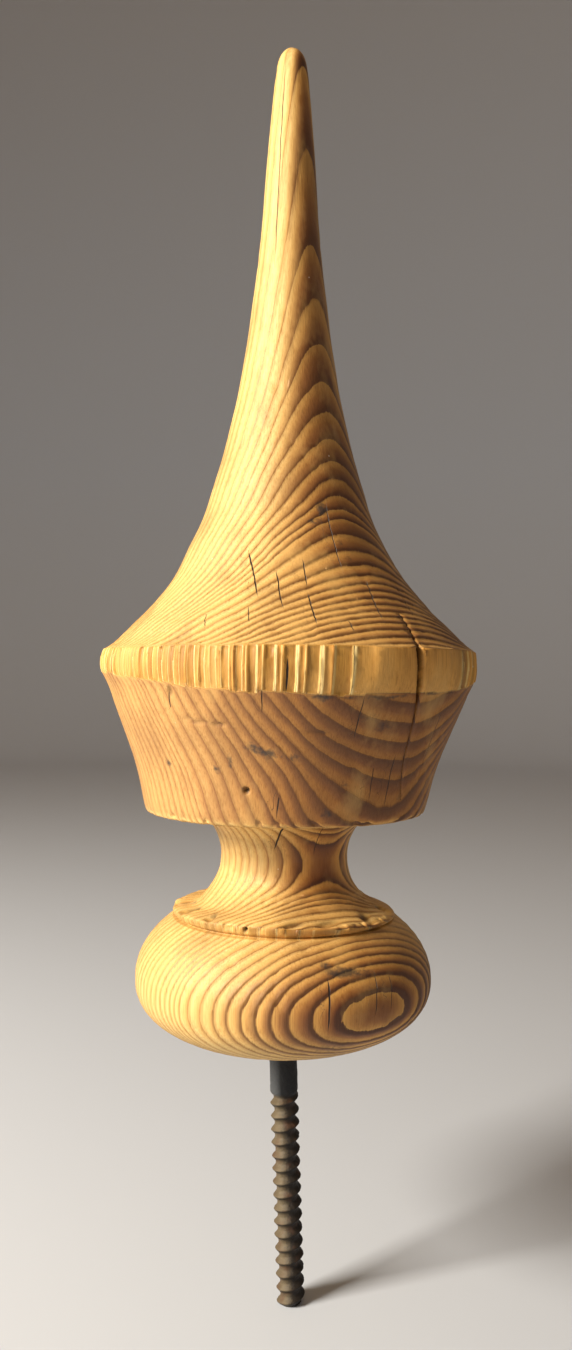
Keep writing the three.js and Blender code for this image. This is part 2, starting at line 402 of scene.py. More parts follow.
def turnedSurface():
    # rows from the bore's end out over the seat and up to the tip; between cup and flare the worn
    # band has its own lower and upper edge in every column
    f = finial
    step = f["rowStep"]
    azimuth = columnAzimuths()
    boreRows = [[0.6, f["boreTop"]], [f["boreRadius"], f["boreTop"]]]
    boreRows += [[f["boreRadius"], z] for z in np.linspace(57.5, 9.0, 14)]
    boreRows += [[f["seatBore"], z] for z in (8.0, 4.0, 0.4)]
    seat = np.stack([np.linspace(6.0, 15.4, 12), np.zeros(12)], axis=-1)
    foot = np.vstack([boreRows, seat, ballRows(step)[1:]])
    face = smoothLine(f["ledgeFace"], step * 0.6)
    below = np.vstack([foot, face, smoothLine(f["ledgeTop"], step * 0.7)[1:], smoothLine(f["neck"], step),
                       smoothLine(f["rim"], step * 0.6)[1:-1]])
    cupLine = smoothLine(f["cup"], 0.2)
    flareLine = smoothLine(f["flare"], 0.2)
    footZ, headZ = bandEdges(azimuth)
    footR = np.interp(footZ, cupLine[:, 1], cupLine[:, 0])
    headR = np.interp(headZ, flareLine[:, 1], flareLine[:, 0])

    share = np.linspace(0, 1, round(44 / step))[:, None]
    cupZ = f["cup"][0][1] + (footZ - f["cup"][0][1]) * share
    cupR = np.interp(cupZ, cupLine[:, 1], cupLine[:, 0])
    share = np.linspace(0, 1, round(15 / step))[1:, None]
    bandZ = footZ + (headZ - footZ) * share
    bandR = footR + (headR - footR) * share + f["collarBelly"] * np.sin(math.pi * share) ** 0.7
    share = np.linspace(0, 1, round(6 / step))[1:, None]
    lipZ = headZ + (f["flareFoot"] - headZ) * share
    lipR = np.interp(lipZ, flareLine[:, 1], flareLine[:, 0])
    start = [np.interp(f["flareFoot"], flareLine[:, 1], flareLine[:, 0]), f["flareFoot"]]
    spirePoints = [point for point in f["flare"] if point[1] > f["flareFoot"]]
    top = np.vstack([smoothLine([start, *spirePoints], step)[1:], smoothLine(f["tip"], step * 0.7)[1:]])

    columns = len(azimuth)
    lower = np.repeat(below[:, None, :], columns, 1)
    upper = np.repeat(top[:, None, :], columns, 1)
    radius = np.vstack([lower[..., 0], cupR, bandR, lipR, upper[..., 0]])
    height = np.vstack([lower[..., 1], cupZ, bandZ, lipZ, upper[..., 1]])
    row = np.arange(len(radius))[:, None]
    bandStart = len(below) + len(cupZ)
    masks = {
        "bore": np.broadcast_to(row < len(boreRows), radius.shape),
        "band": np.broadcast_to((row >= bandStart - 1) & (row < bandStart + len(bandZ)), radius.shape),
        "face": np.broadcast_to((row >= len(foot)) & (row < len(foot) + len(face)), radius.shape),
        "cup": np.broadcast_to((row >= len(below) - 4) & (row < bandStart), radius.shape),
    }
    azimuth = np.broadcast_to(azimuth, radius.shape)
    return azimuth, radius, height + ledgeShift(azimuth, radius, height), masks


def ledgeShift(azimuth, radius, height):
    # mm up or down: the ledge's rim isn't level, and its top is worn hollow on the left
    peak, spread, rise = finial["ledgeRise"]
    lowTurn, drop = finial["ledgeDrop"]
    bowlTurn, bowlRadius, bowl = finial["ledgeBowl"]
    onRim = smoothStep(42.9, 45.2, height) * smoothStep(62, 49, height)
    tilt = rise * np.exp(-((azimuth - peak) / spread) ** 2)
    tilt = tilt - drop * np.maximum(np.cos(np.radians(azimuth - lowTurn)), 0)
    worn = bowl * np.exp(-((radius - bowlRadius) / 4.5) ** 2) * smoothStep(45.5, 47, height)
    worn = worn * smoothStep(57, 53, height) * np.maximum(np.cos(np.radians(azimuth - bowlTurn)), 0)
    return tilt * onRim - worn


def surfaceNormals(points):
    # cross product of the grid's two directions, pointing out of the wood
    up = np.gradient(points, axis=0)
    around = np.roll(points, -1, axis=1) - np.roll(points, 1, axis=1)
    normal = np.cross(around, up)
    return normal / np.maximum(np.linalg.norm(normal, axis=-1, keepdims=True), 1e-9)


def ringRelief(rings, height, flatGrain, masks):
    # wear across one ring in mm: lowest just past the late wood's hard edge and rising to the next
    # one, as overlapping boards do; each wave fades out where the grid is too coarse to hold it
    stepUp = np.abs(np.gradient(rings, axis=0))
    stepRound = np.abs(np.roll(rings, -1, axis=1) - np.roll(rings, 1, axis=1)) / 2
    coarse = np.maximum(stepUp, stepRound)
    turn = 2 * math.pi * rings
    main = 0.5 * np.cos(turn - 2 * math.pi * 0.80) * smoothStep(0.42, 0.22, coarse)
    second = 0.25 * np.cos(2 * turn - 4 * math.pi * 0.90) * smoothStep(0.24, 0.12, coarse)
    third = 0.13 * np.cos(3 * turn - 6 * math.pi * 0.94) * smoothStep(0.16, 0.08, coarse)
    depth = np.interp(height, *zip(*finial["ringWear"])) * (0.5 + 0.5 * flatGrain)
    worn = depth * (main + second + third - 0.6)
    part = rings % 1
    thin = np.where(rings > ringsWithin(timber["fromPith"][-2]) - 0.1, 0.008, 0.035)
    ridge = sum(np.exp(-((part - at) / thin) ** 2) for at in (0.0, 0.34, 0.91, 1.0))
    panel = np.where((part > 0.34) & (part < 0.91), -0.35, 0.0)
    fluted = (0.45 * np.minimum(ridge, 1) + panel) * smoothStep(0.3, 0.14, coarse) - 0.25
    return np.where(masks["band"], fluted, worn)


def acrossCheck(azimuth, radius, height):
    # distance from the main check's middle line, and its width at that height, in mm
    centre = np.interp(height, mainCheck["height"], mainCheck["azimuth"])
    width = np.interp(height, mainCheck["height"], mainCheck["width"], left=0, right=0)
    return np.abs(np.radians(azimuth - centre)) * radius, width


def splitDepth(azimuth, radius, height):
    # the main check's groove: its depth in mm, falling to nothing at its two walls
    away, width = acrossCheck(azimuth, radius, height)
    share = np.clip(1 - away / np.maximum(width / 2 + 0.1, 1e-6), 0, 1)
    return np.where(width > 0, mainCheck["depth"] * np.minimum(1, width / 1.2) * share ** 0.5, 0)


def checkField(azimuth, radius, height):
    # signed distance across the grain to the nearest fine check, and that check's width, in mm
    nearest = np.full(radius.shape, 9.0)
    width = np.zeros(radius.shape)
    for (footTurn, footZ), (headTurn, headZ), wide in fineChecks:
        share = (height - footZ) / (headZ - footZ)
        distance = np.radians(azimuth - footTurn - (headTurn - footTurn) * share) * radius
        taper = smoothStep(0, 0.25, share) * smoothStep(1, 0.75, share)
        mine = (np.abs(distance) < np.minimum(np.abs(nearest), 3.0)) & (taper > 0)
        nearest = np.where(mine, distance, nearest)
        width = np.where(mine, wide * taper, width)
    return nearest, width


def blobField(azimuth, radius, height, blobs):
    # the sum of soft round blobs, each from its place and half sizes on the surface
    total = np.zeros(radius.shape)
    for turn, z, halfWidth, halfHeight, strength in blobs:
        across = np.radians((azimuth - turn + 180) % 360 - 180) * radius / halfWidth
        along = (height - z) / halfHeight
        total += strength * np.exp(-(across ** 2 + along ** 2) ** 1.5)
    return total


def driedShift(height):
    # how far the drying has pulled the cup to the right at each height
    heights = (70, 82, 96, 116, 124, 134, 155, 170)
    return np.interp(height, heights, (0, 0.1, 0.35, 0.75, 1, 1, 0.75, 0)) * finial["driedShift"]


def makeWoodMesh():
    # the turned surface, moved along its normals by ring wear, dents, chips and pits, and cut
    # towards the axis by the main check
    azimuth, radius, height, masks = turnedSurface()
    f = finial
    turn = np.radians(azimuth)
    shift = driedShift(height)
    shift = np.where(masks["bore"], -height * math.tan(math.radians(f["boreLean"])), shift)
    x = radius * np.sin(turn) + shift
    y = -radius * np.cos(turn)
    points = np.stack([x, y, height], axis=-1)
    normals = surfaceNormals(points)
    rings = woodRings(azimuth, x, y, height, masks["band"] | masks["face"])
    outward, outX, outY = fromHeart(x, y, height)
    level = np.maximum(np.hypot(normals[..., 0], normals[..., 1]), 1e-3)
    flatGrain = np.abs(normals[..., 0] * outX + normals[..., 1] * outY) / (outward * level)
    flatGrain = flatGrain * (0.7 + 0.3 * level)

    # dents and chips are the troughs of seeded waves, the chips only along the two rims
    dents = 0.14 * np.minimum(0, waves(x, y, height, 9, 12, 8, 21) + 0.6)
    ledgeChips = 0.7 * np.minimum(0, waves(x, y, height, 7, 9, 8, 33) + 1.0)
    ledgeChips = ledgeChips + 0.3 * raggedEdge(azimuth, 31, 90)
    ledgeChips = ledgeChips * np.exp(-((height - 45.8) / 1.0) ** 2) * (radius > 36.5)
    rimChips = 0.7 * np.minimum(0, waves(x, y, height, 6, 9, 8, 57) + 0.5)
    rimChips = rimChips * np.exp(-((height - 80.2) / 1.2) ** 2) * (radius > 46)
    holes = blobField(azimuth, radius, height, pits)
    moved = ringRelief(rings, height, flatGrain, masks) + dents + ledgeChips + rimChips - holes
    moved = np.where(masks["bore"], 0, moved * smoothStep(0.0, 3.0, height))
    split = np.where(masks["bore"], 0, splitDepth(azimuth, radius, height))
    inward = np.stack([np.sin(turn), -np.cos(turn), np.zeros_like(turn)], axis=-1)
    points = points + normals * moved[..., None] - inward * split[..., None]

    mesh = gridMesh("finial_wood", points, (-2.4, 0, f["boreTop"]), (0, 0, f["height"]))
    addAttribute(mesh, "flatGrain", flatGrain)
    addAttribute(mesh, "freshWood", masks["band"] + 0.6 * masks["face"])
    # the cup's mask, for its darker ramps of grime and painted shade
    addAttribute(mesh, "cupWood", masks["cup"])
    addAttribute(mesh, "keep", splitDepth(azimuth, radius, height) > 0)
    return mesh


def thinMesh(mesh, triangles):
    # collapses the flat stretches of the grid and keeps the ridges and the main check's walls
    carrier = bpy.data.objects.new("carrier", mesh)
    scene.collection.objects.link(carrier)
    total = len(mesh.loops) - 2 * len(mesh.polygons)
    keep = np.empty(len(mesh.vertices), np.float32)
    mesh.attributes["keep"].data.foreach_get("value", keep)
    group = carrier.vertex_groups.new(name="check")
    group.add(np.flatnonzero(keep > 0.5).tolist(), 1.0, "REPLACE")
    thin = carrier.modifiers.new("thin", "DECIMATE")
    thin.ratio = triangles / total
    thin.vertex_group = group.name
    thin.invert_vertex_group = True
    depsgraph = bpy.context.evaluated_depsgraph_get()
    thinned = bpy.data.meshes.new_from_object(carrier.evaluated_get(depsgraph))
    name = mesh.name
    bpy.data.objects.remove(carrier)
    bpy.data.meshes.remove(mesh)
    thinned.name = name
    return thinned


def drawGrain(mesh):
    # the grain's fields, from where the kept vertices ended up, so that its lines run true
    count = len(mesh.vertices)
    place = np.empty(count * 3, np.float32)
    mesh.vertices.foreach_get("co", place)
    x, y, z = (place.reshape(-1, 3) / mm).T.astype(float)
    fresh = np.empty(count, np.float32)
    mesh.attributes["freshWood"].data.foreach_get("value", fresh)
    offX = x - driedShift(z)
    azimuth = np.degrees(np.arctan2(offX, -y))
    radius = np.hypot(offX, y)
    checkDistance, checkWidth = checkField(azimuth, radius, z)
    blot = blobField(azimuth, radius, z, stainAndShadows) * (1 + 0.15 * waves(x, y, z, 3, 4, 8, 71))
    addAttribute(mesh, "ringCount", woodRings(azimuth, x, y, z, fresh))
    # stains, with the painted shadow line under the band's foot among them
    addAttribute(mesh, "stainAndShadow", np.clip(blot, 0, 1))
    # old oil patina and painted shade browning the spire's right side, away from the lamp
    browned = smoothStep(-25, 15, azimuth) * smoothStep(110, 60, azimuth)    # the spire's right side
    addAttribute(mesh, "oilAndShadeRight", browned * smoothStep(150, 200, z) * smoothStep(345, 300, z))
    away, width = acrossCheck(azimuth, radius, z)
    groove = smoothStep(width / 2 + 0.1, width / 2 - 0.15, away) * (width > 0.05)
    # hollow: where the main check's groove and the pits get the painted shade colour
    addAttribute(mesh, "hollow", np.clip(groove + blobField(azimuth, radius, z, pits) / 1.8, 0, 1))
    addAttribute(mesh, "checkDistance", checkDistance)
    addAttribute(mesh, "checkWidth", checkWidth)


pine = {
    # albedo across one ring, from the pale early wood to the dark edge of the late wood
    "quarterCut": ((0.0, "#DDB875"), (0.06, "#EBCB86"), (0.5, "#E2BB70"), (0.84, "#D5A860"),
                   (0.96, "#BF8E4C"), (1.0, "#C99B5A")),
    "flatCut": ((0.0, "#B07C40"), (0.05, "#DCA757"), (0.30, "#CC9248"), (0.52, "#A46C34"),
                (0.80, "#774521"), (0.93, "#5A3015"), (0.985, "#5A3217"), (1.0, "#7C4F26")),
    # the cup's ramps, darker and redder than the body's: partly grime and partly painted shade on the cup,
    # which faces down
    "cupQuarter": ((0.0, "#C09256"), (0.08, "#D3A566"), (0.55, "#CB995A"), (0.85, "#B9864C"),
                   (0.96, "#A57040"), (1.0, "#AE7C48")),
    "cupFlat": ((0.0, "#8A5826"), (0.08, "#B07836"), (0.36, "#AA7030"), (0.58, "#8A5628"),
                (0.84, "#72441D"), (0.95, "#663B18"), (1.0, "#744720")),
    # on the band the pale stops at 0.0, 0.325 to 0.355, 0.89 to 0.925 and 0.955 to 1.0 lie on the raised
    # ridges as painted highlights, and the dark stop at 0.94 is a painted shadow line beside a ridge; the
    # rest is early and late wood
    "band": ((0.0, "#EBC87C"), (0.006, "#E4AC56"), (0.30, "#DC9E4A"), (0.325, "#F2D084"),
             (0.355, "#F2D084"), (0.38, "#C89440"), (0.87, "#AC7C34"), (0.89, "#F2CE80"),
             (0.925, "#F2CE80"), (0.94, "#744A22"), (0.955, "#FBE3A2"), (1.0, "#F7DC98")),
    "streaks": ((0.25, "#BCA282"), (0.45, "#EEE6D9"), (0.6, "#FFFFFF"), (0.75, "#FFFFFF")),
    # darkening: mottled grime, and on the spire's right side old oil patina together with painted shade
    "darkening": "#6E4825",
    "rubbed": "#DDB068",
    # stains, and also the painted shadow line under the worn band's foot
    "stainAndShadow": "#2A2B2C",
    "check": "#1D0F08",
    # painted shade: near-black inside the main check's groove and the pits
    "hollow": "#140A05",
    "speck": "#EDE6D2",
    # the most that each of these covers
    "streakShare": 0.6, "darkeningShare": 0.42, "oilAndShadeRightShare": 0.32, "rubbedShare": 0.45, "stainAndShadowShare": 0.8,
    "speckShare": 0.5,
    # sizes in mm
    "fibreWidth": 0.45,           # real fibres are finer than the render can show
    "fibreLength": 11.0,
    "mottleSize": 16.0,
    "speckleSize": 1.1,
    "speckSpacing": 8.0,
    "checkWobble": 2.2,
    # heights in mm
    "ringStep": 0.05, "fibreHeight": 0.08, "gritHeight": 0.06, "checkDepth": 0.3,
    "earlyRoughness": 0.56, "lateRoughness": 0.40, "gritRoughness": 0.16,
}


def woodNoises(tree):
    # fibres combed along the grain, broad mottling drawn out along it and fine speckle, all in mm
    place = addNode(tree, "ShaderNodeTexCoord", output="Object")
    inMm = addNode(tree, "ShaderNodeVectorMath", {0: place, 3: 1000.0}, operation="SCALE")
    across, along = 1 / pine["fibreWidth"], 1 / pine["fibreLength"]
    combed = addNode(tree, "ShaderNodeVectorMath", {0: inMm, 1: (across, across, along)},
                     operation="MULTIPLY")
    fibre = addNode(tree, "ShaderNodeTexNoise", {"Vector": combed, "Scale": 1.0, "Detail": 2.0,
                                                 "Roughness": 0.6}, output="Fac")
    drawnOut = addNode(tree, "ShaderNodeVectorMath", {0: inMm, 1: (1.0, 1.0, 0.5)}, operation="MULTIPLY")
    mottle = addNode(tree, "ShaderNodeTexNoise", {"Vector": drawnOut, "Scale": 1 / pine["mottleSize"],
                                                  "Detail": 4.0, "Roughness": 0.62}, output="Fac")
    speckle = addNode(tree, "ShaderNodeTexNoise", {"Vector": inMm, "Scale": 1 / pine["speckleSize"],
                                                   "Detail": 2.0}, output="Fac")
    return inMm, fibre, mottle, speckle


def ringColour(tree, field, fibre):
    # where in its ring each point lies, a little frayed by the fibres, then a ramp for each cut:
    # flat-cut faces show broad late wood, quarter-cut faces thin lines, the band upright panels
    frayed = addNode(tree, "ShaderNodeMath", {0: fibre, 1: 0.06, 2: field["ringCount"]},
                     operation="MULTIPLY_ADD")
    frayed = addNode(tree, "ShaderNodeMath", {0: frayed, 1: 0.03}, operation="SUBTRACT")
    part = addNode(tree, "ShaderNodeMath", {0: frayed}, operation="FRACT")
    whole = addNode(tree, "ShaderNodeMath", {0: frayed}, operation="FLOOR")
    chance = addNode(tree, "ShaderNodeTexWhiteNoise", {"W": whole}, noise_dimensions="1D", output="Value")
    spread = addNode(tree, "ShaderNodeMapRange", {"Value": field["flatGrain"], "From Min": 0.6,
                                                  "From Max": 1.0, "To Min": 2.4, "To Max": 0.75})
    vary = addNode(tree, "ShaderNodeMapRange", {"Value": chance, "To Min": 0.75, "To Max": 1.35})
    bend = addNode(tree, "ShaderNodeMath", {0: spread, 1: vary}, operation="MULTIPLY")
    aged = addNode(tree, "ShaderNodeMath", {0: part, 1: bend}, operation="POWER")
    tint = {cut: setRamp(addNode(tree, "ShaderNodeValToRGB", {"Fac": aged}), pine[cut])
            for cut in ("quarterCut", "flatCut", "cupQuarter", "cupFlat")}
    panels = addNode(tree, "ShaderNodeMapRange", {"Value": chance, "To Min": 0.6, "To Max": 1.5})
    panels = addNode(tree, "ShaderNodeMath", {0: part, 1: panels}, operation="POWER")
    # the band's ramp paints highlights on its raised ridges and a shadow line beside one
    band = setRamp(addNode(tree, "ShaderNodeValToRGB", {"Fac": panels}), pine["band"])
    flatShare = addNode(tree, "ShaderNodeMapRange", {"Value": field["flatGrain"], "From Min": 0.70,
                                                     "From Max": 0.99}, interpolation_type="SMOOTHSTEP")
    body = addNode(tree, "ShaderNodeMix", {"Factor": flatShare, "A": tint["quarterCut"],
                                           "B": tint["flatCut"]}, data_type="RGBA", output="Result")
    # the cup's darker ramps: partly grime, partly painted shade
    cup = addNode(tree, "ShaderNodeMix", {"Factor": flatShare, "A": tint["cupQuarter"],
                                          "B": tint["cupFlat"]}, data_type="RGBA", output="Result")
    colour = addNode(tree, "ShaderNodeMix", {"Factor": field["cupWood"], "A": body, "B": cup},
                     data_type="RGBA", output="Result")
    colour = addNode(tree, "ShaderNodeMix", {"Factor": field["freshWood"], "A": colour, "B": band},
                     data_type="RGBA", output="Result")
    return colour, part, aged


def fineCheckMask(tree, field, mottle):
    # 1 within half a check's width of its wavering line
    wobble = addNode(tree, "ShaderNodeMath", {0: mottle, 1: pine["checkWobble"], 2: field["checkDistance"]},
                     operation="MULTIPLY_ADD")
    wobble = addNode(tree, "ShaderNodeMath", {0: wobble, 1: pine["checkWobble"] / 2}, operation="SUBTRACT")
    offLine = addNode(tree, "ShaderNodeMath", {0: wobble}, operation="ABSOLUTE")
    halfWidth = addNode(tree, "ShaderNodeMath", {0: field["checkWidth"], 1: 0.5}, operation="MULTIPLY")
    inside = addNode(tree, "ShaderNodeMath", {0: halfWidth, 1: offLine}, operation="SUBTRACT")
    return addNode(tree, "ShaderNodeMapRange", {"Value": inside, "From Min": -0.02, "From Max": 0.1})


def wornColour(tree, colour, field, noises, inCheck):
    # fibre streaks, mottled grime, old oil patina and painted shade on the spire's right side, rubbed places,
    # stains and a painted shadow line under the band's foot, fine checks, painted shade in the main check and
    # the pits, and flecks over the rings
    inMm, fibre, mottle, speckle = noises
    streaks = setRamp(addNode(tree, "ShaderNodeValToRGB", {"Fac": fibre}), pine["streaks"])
    colour = addNode(tree, "ShaderNodeMix", {"Factor": pine["streakShare"], "A": colour, "B": streaks},
                     data_type="RGBA", blend_type="MULTIPLY", output="Result")
    darkening = addNode(tree, "ShaderNodeMapRange", {"Value": mottle, "From Min": 0.47, "From Max": 0.72,
                                                 "To Max": pine["darkeningShare"]})
    # the spire's right side adds old oil patina and painted shade to the mottled grime
    darkening = addNode(tree, "ShaderNodeMath", {0: field["oilAndShadeRight"], 1: pine["oilAndShadeRightShare"], 2: darkening},
                    operation="MULTIPLY_ADD")
    rubbed = addNode(tree, "ShaderNodeMapRange", {"Value": mottle, "From Min": 0.48, "From Max": 0.3,
                                                  "To Max": pine["rubbedShare"]})
    stainAndShadow = addNode(tree, "ShaderNodeMath", {0: speckle, 1: 0.9, 2: field["stainAndShadow"]},
                    operation="MULTIPLY_ADD")
    stainAndShadow = addNode(tree, "ShaderNodeMapRange", {"Value": stainAndShadow, "From Min": 0.78, "From Max": 1.35,
                                                 "To Max": pine["stainAndShadowShare"]})
    cell = addNode(tree, "ShaderNodeTexVoronoi", {"Vector": inMm, "Scale": 1 / pine["speckSpacing"]}).node
    size = addNode(tree, "ShaderNodeSeparateColor", {"Color": cell.outputs["Color"]})
    size = addNode(tree, "ShaderNodeMath", {0: size, 1: 0.045}, operation="MULTIPLY")
    speck = addNode(tree, "ShaderNodeMath", {0: cell.outputs["Distance"], 1: size}, operation="LESS_THAN")
    speck = addNode(tree, "ShaderNodeMath", {0: speck, 1: pine["speckShare"]}, operation="MULTIPLY")
    layers = ((darkening, "darkening"), (rubbed, "rubbed"), (stainAndShadow, "stainAndShadow"), (inCheck, "check"),
              (field["hollow"], "hollow"), (speck, "speck"))
    for share, name in layers:
        colour = addNode(tree, "ShaderNodeMix", {"Factor": share, "A": colour, "B": toLinear(pine[name])},
                         data_type="RGBA", output="Result")
    return colour


def pineMaterial():
    # old oiled pine, turned and weathered: straw to amber early wood, red-brown late wood with a
    # hard dark edge, a low sheen on the hard late wood
    material, tree = newMaterial("weatheredPine")
    field = {name: addNode(tree, "ShaderNodeAttribute", output="Fac", attribute_name=name)
             for name in ("ringCount", "flatGrain", "freshWood", "cupWood", "hollow", "stainAndShadow", "oilAndShadeRight",
                          "checkDistance", "checkWidth")}
    noises = woodNoises(tree)
    fibre, mottle, speckle = noises[1:]
    colour, part, aged = ringColour(tree, field, fibre)
    inCheck = fineCheckMask(tree, field, mottle)
    colour = wornColour(tree, colour, field, noises, inCheck)

    # heights in mm for the bump: the late wood's step, fibres, fine grit, and the checks' depth
    height = addNode(tree, "ShaderNodeMapRange", {"Value": part, "From Min": 0.0, "From Max": 0.96,
                                                  "To Max": pine["ringStep"]})
    for value, rise in ((fibre, pine["fibreHeight"]), (speckle, pine["gritHeight"]),
                        (inCheck, -pine["checkDepth"])):
        height = addNode(tree, "ShaderNodeMath", {0: value, 1: rise, 2: height}, operation="MULTIPLY_ADD")
    bump = addNode(tree, "ShaderNodeBump", {"Height": height, "Strength": 1.0, "Distance": mm})
    rough = addNode(tree, "ShaderNodeMapRange", {"Value": aged, "To Min": pine["earlyRoughness"],
                                                 "To Max": pine["lateRoughness"]})
    rough = addNode(tree, "ShaderNodeMath", {0: speckle, 1: pine["gritRoughness"], 2: rough},
                    operation="MULTIPLY_ADD")
    shader = addNode(tree, "ShaderNodeBsdfPrincipled", {"Base Color": colour, "Roughness": rough,
                                                        "Normal": bump, "IOR": 1.5})
    addNode(tree, "ShaderNodeOutputMaterial", {"Surface": shader})
    return material


woodMesh = makeWoodMesh()
print("wood grid:", len(woodMesh.vertices), "points")
woodMesh = thinMesh(woodMesh, finial["triangles"])
drawGrain(woodMesh)
addPiece("turned_finial", woodMesh, pineMaterial(), "finial_body")
print("wood thinned:", len(woodMesh.polygons), "faces")

bolt = {                          # mm
    "pitch": 4.6,
    "crest": 4.95,
    "root": 3.6,
    "shank": 4.8,
    "shankFoot": -20.0,
    "shankHead": 8.0,
    "foot": -93.0,
    "head": 58.0,
    "chamfer": 1.0,
    "crestPart": 0.4,             # where in each pitch the thin crest runs
    "flankWidth": 0.38,           # of a pitch, from the crest down to the wide root
    "flankCurve": 1.3,
    "shadeUnderCrest": 0.14,           # of a pitch below the crest, where the painted shade sits
    "lean": 2.4,                  # degrees askew, lower end to the right
    "rowStep": 0.23,
    "columns": 72,
}


def threadRadius(x, y, z):
    # right-hand wood-screw thread: a thin crest with hollow flanks, (1 - distance / flank width) to
    # a power, over a wide round root; a little rounding blunts the crest
    b = bolt
    part = (z / b["pitch"] - np.arctan2(y, x) / (2 * math.pi)) % 1
    away = np.abs(part - b["crestPart"])
    away = np.hypot(np.minimum(away, 1 - away), 0.03) - 0.03
    stand = np.maximum(0, 1 - away / b["flankWidth"]) ** b["flankCurve"]
    return b["root"] + (b["crest"] - b["root"]) * stand, part


def makeBoltMesh():
    # rows up the bolt from its cut end: chamfer, thread, plain shank, thread, chamfer
    b = bolt
    z = np.linspace(b["foot"], b["head"], round((b["head"] - b["foot"]) / b["rowStep"]))
    z = np.concatenate([[b["foot"]] * 4, z[1:-1], [b["head"]] * 3])[:, None]
    turn = np.linspace(0, 2 * math.pi, b["columns"], endpoint=False)[None, :]
    thread, part = threadRadius(np.cos(turn), np.sin(turn), z)
    plain = smoothStep(b["shankFoot"] - 1.2, b["shankFoot"] + 1.2, z)
    plain = plain * smoothStep(b["shankHead"] + 1.2, b["shankHead"] - 1.2, z)
    radius = thread + (b["shank"] - thread) * plain
    worn = 0.10 * waves(np.cos(turn) * 5, np.sin(turn) * 5, z, 6, 9, 8, 91)
    pitted = 0.05 * waves(np.cos(turn) * 5, np.sin(turn) * 5, z, 1.6, 2.2, 10, 92)
    radius = np.minimum(radius + worn * (1 - 0.7 * plain) + pitted, b["crest"] + 0.06)
    # the chamfers, then the end faces as shares of the radius, and a torn nib on the lower one
    fromEnd = np.minimum(z - b["foot"], b["head"] - z)
    radius = np.minimum(radius, b["crest"] - b["chamfer"] + np.sqrt(np.maximum(fromEnd, 0) * 1.4))
    face = np.ones_like(z)
    face[:4, 0] = (0.12, 0.45, 0.8, 1.0)
    face[-3:, 0] = (1.0, 0.6, 0.2)
    radius = radius * face
    nib = np.zeros_like(z)
    nib[:2, 0] = (0.55, 0.3)
    x = radius * np.cos(turn)
    y = radius * np.sin(turn)
    height = np.broadcast_to(z, x.shape) + nib * (y < 0.5)
    lean = math.radians(b["lean"])
    points = np.stack([x * math.cos(lean) - height * math.sin(lean), y,
                       height * math.cos(lean) + x * math.sin(lean)], axis=-1)
    footPole = (-b["foot"] * math.sin(lean), 0, (b["foot"] + 0.5) * math.cos(lean))
    headPole = (-b["head"] * math.sin(lean), 0, b["head"] * math.cos(lean))
    mesh = gridMesh("bolt_steel", points, footPole, headPole)
    # painted shade: a band just under each crest, where the crest would shade the flank
    under = np.exp(-((part - b["crestPart"] + b["shadeUnderCrest"]) / 0.09) ** 2) * (1 - plain)
    addAttribute(mesh, "shadeUnderCrest", under)
    addAttribute(mesh, "plainShank", np.broadcast_to(plain, x.shape))
    # painted light: the bolt's left side, towards the lamp, made paler in the material
    addAttribute(mesh, "leftLitSide", smoothStep(4.5, -4.5, x))
    return mesh


rust = {
    "oxide": "#201811",
    # tan dust, laid only on the bolt's left as painted light
    "dustAndLight": "#685B45",
    "redRust": "#5E3F2C",
    # painted shade: near-black under each thread crest
    "darkening": "#140E0A",
    "shank": "#17181B",
    # painted light: grey on the shank's left side
    "shankLitSide": "#5A5D60",
    "redShare": 0.5, "darkeningShare": 0.85,
    "grainSize": 0.6,             # mm
    "patchSize": 5.0,
    "grainHeight": 0.16,
    "threadMetallic": 0.15, "shankMetallic": 0.3,
}


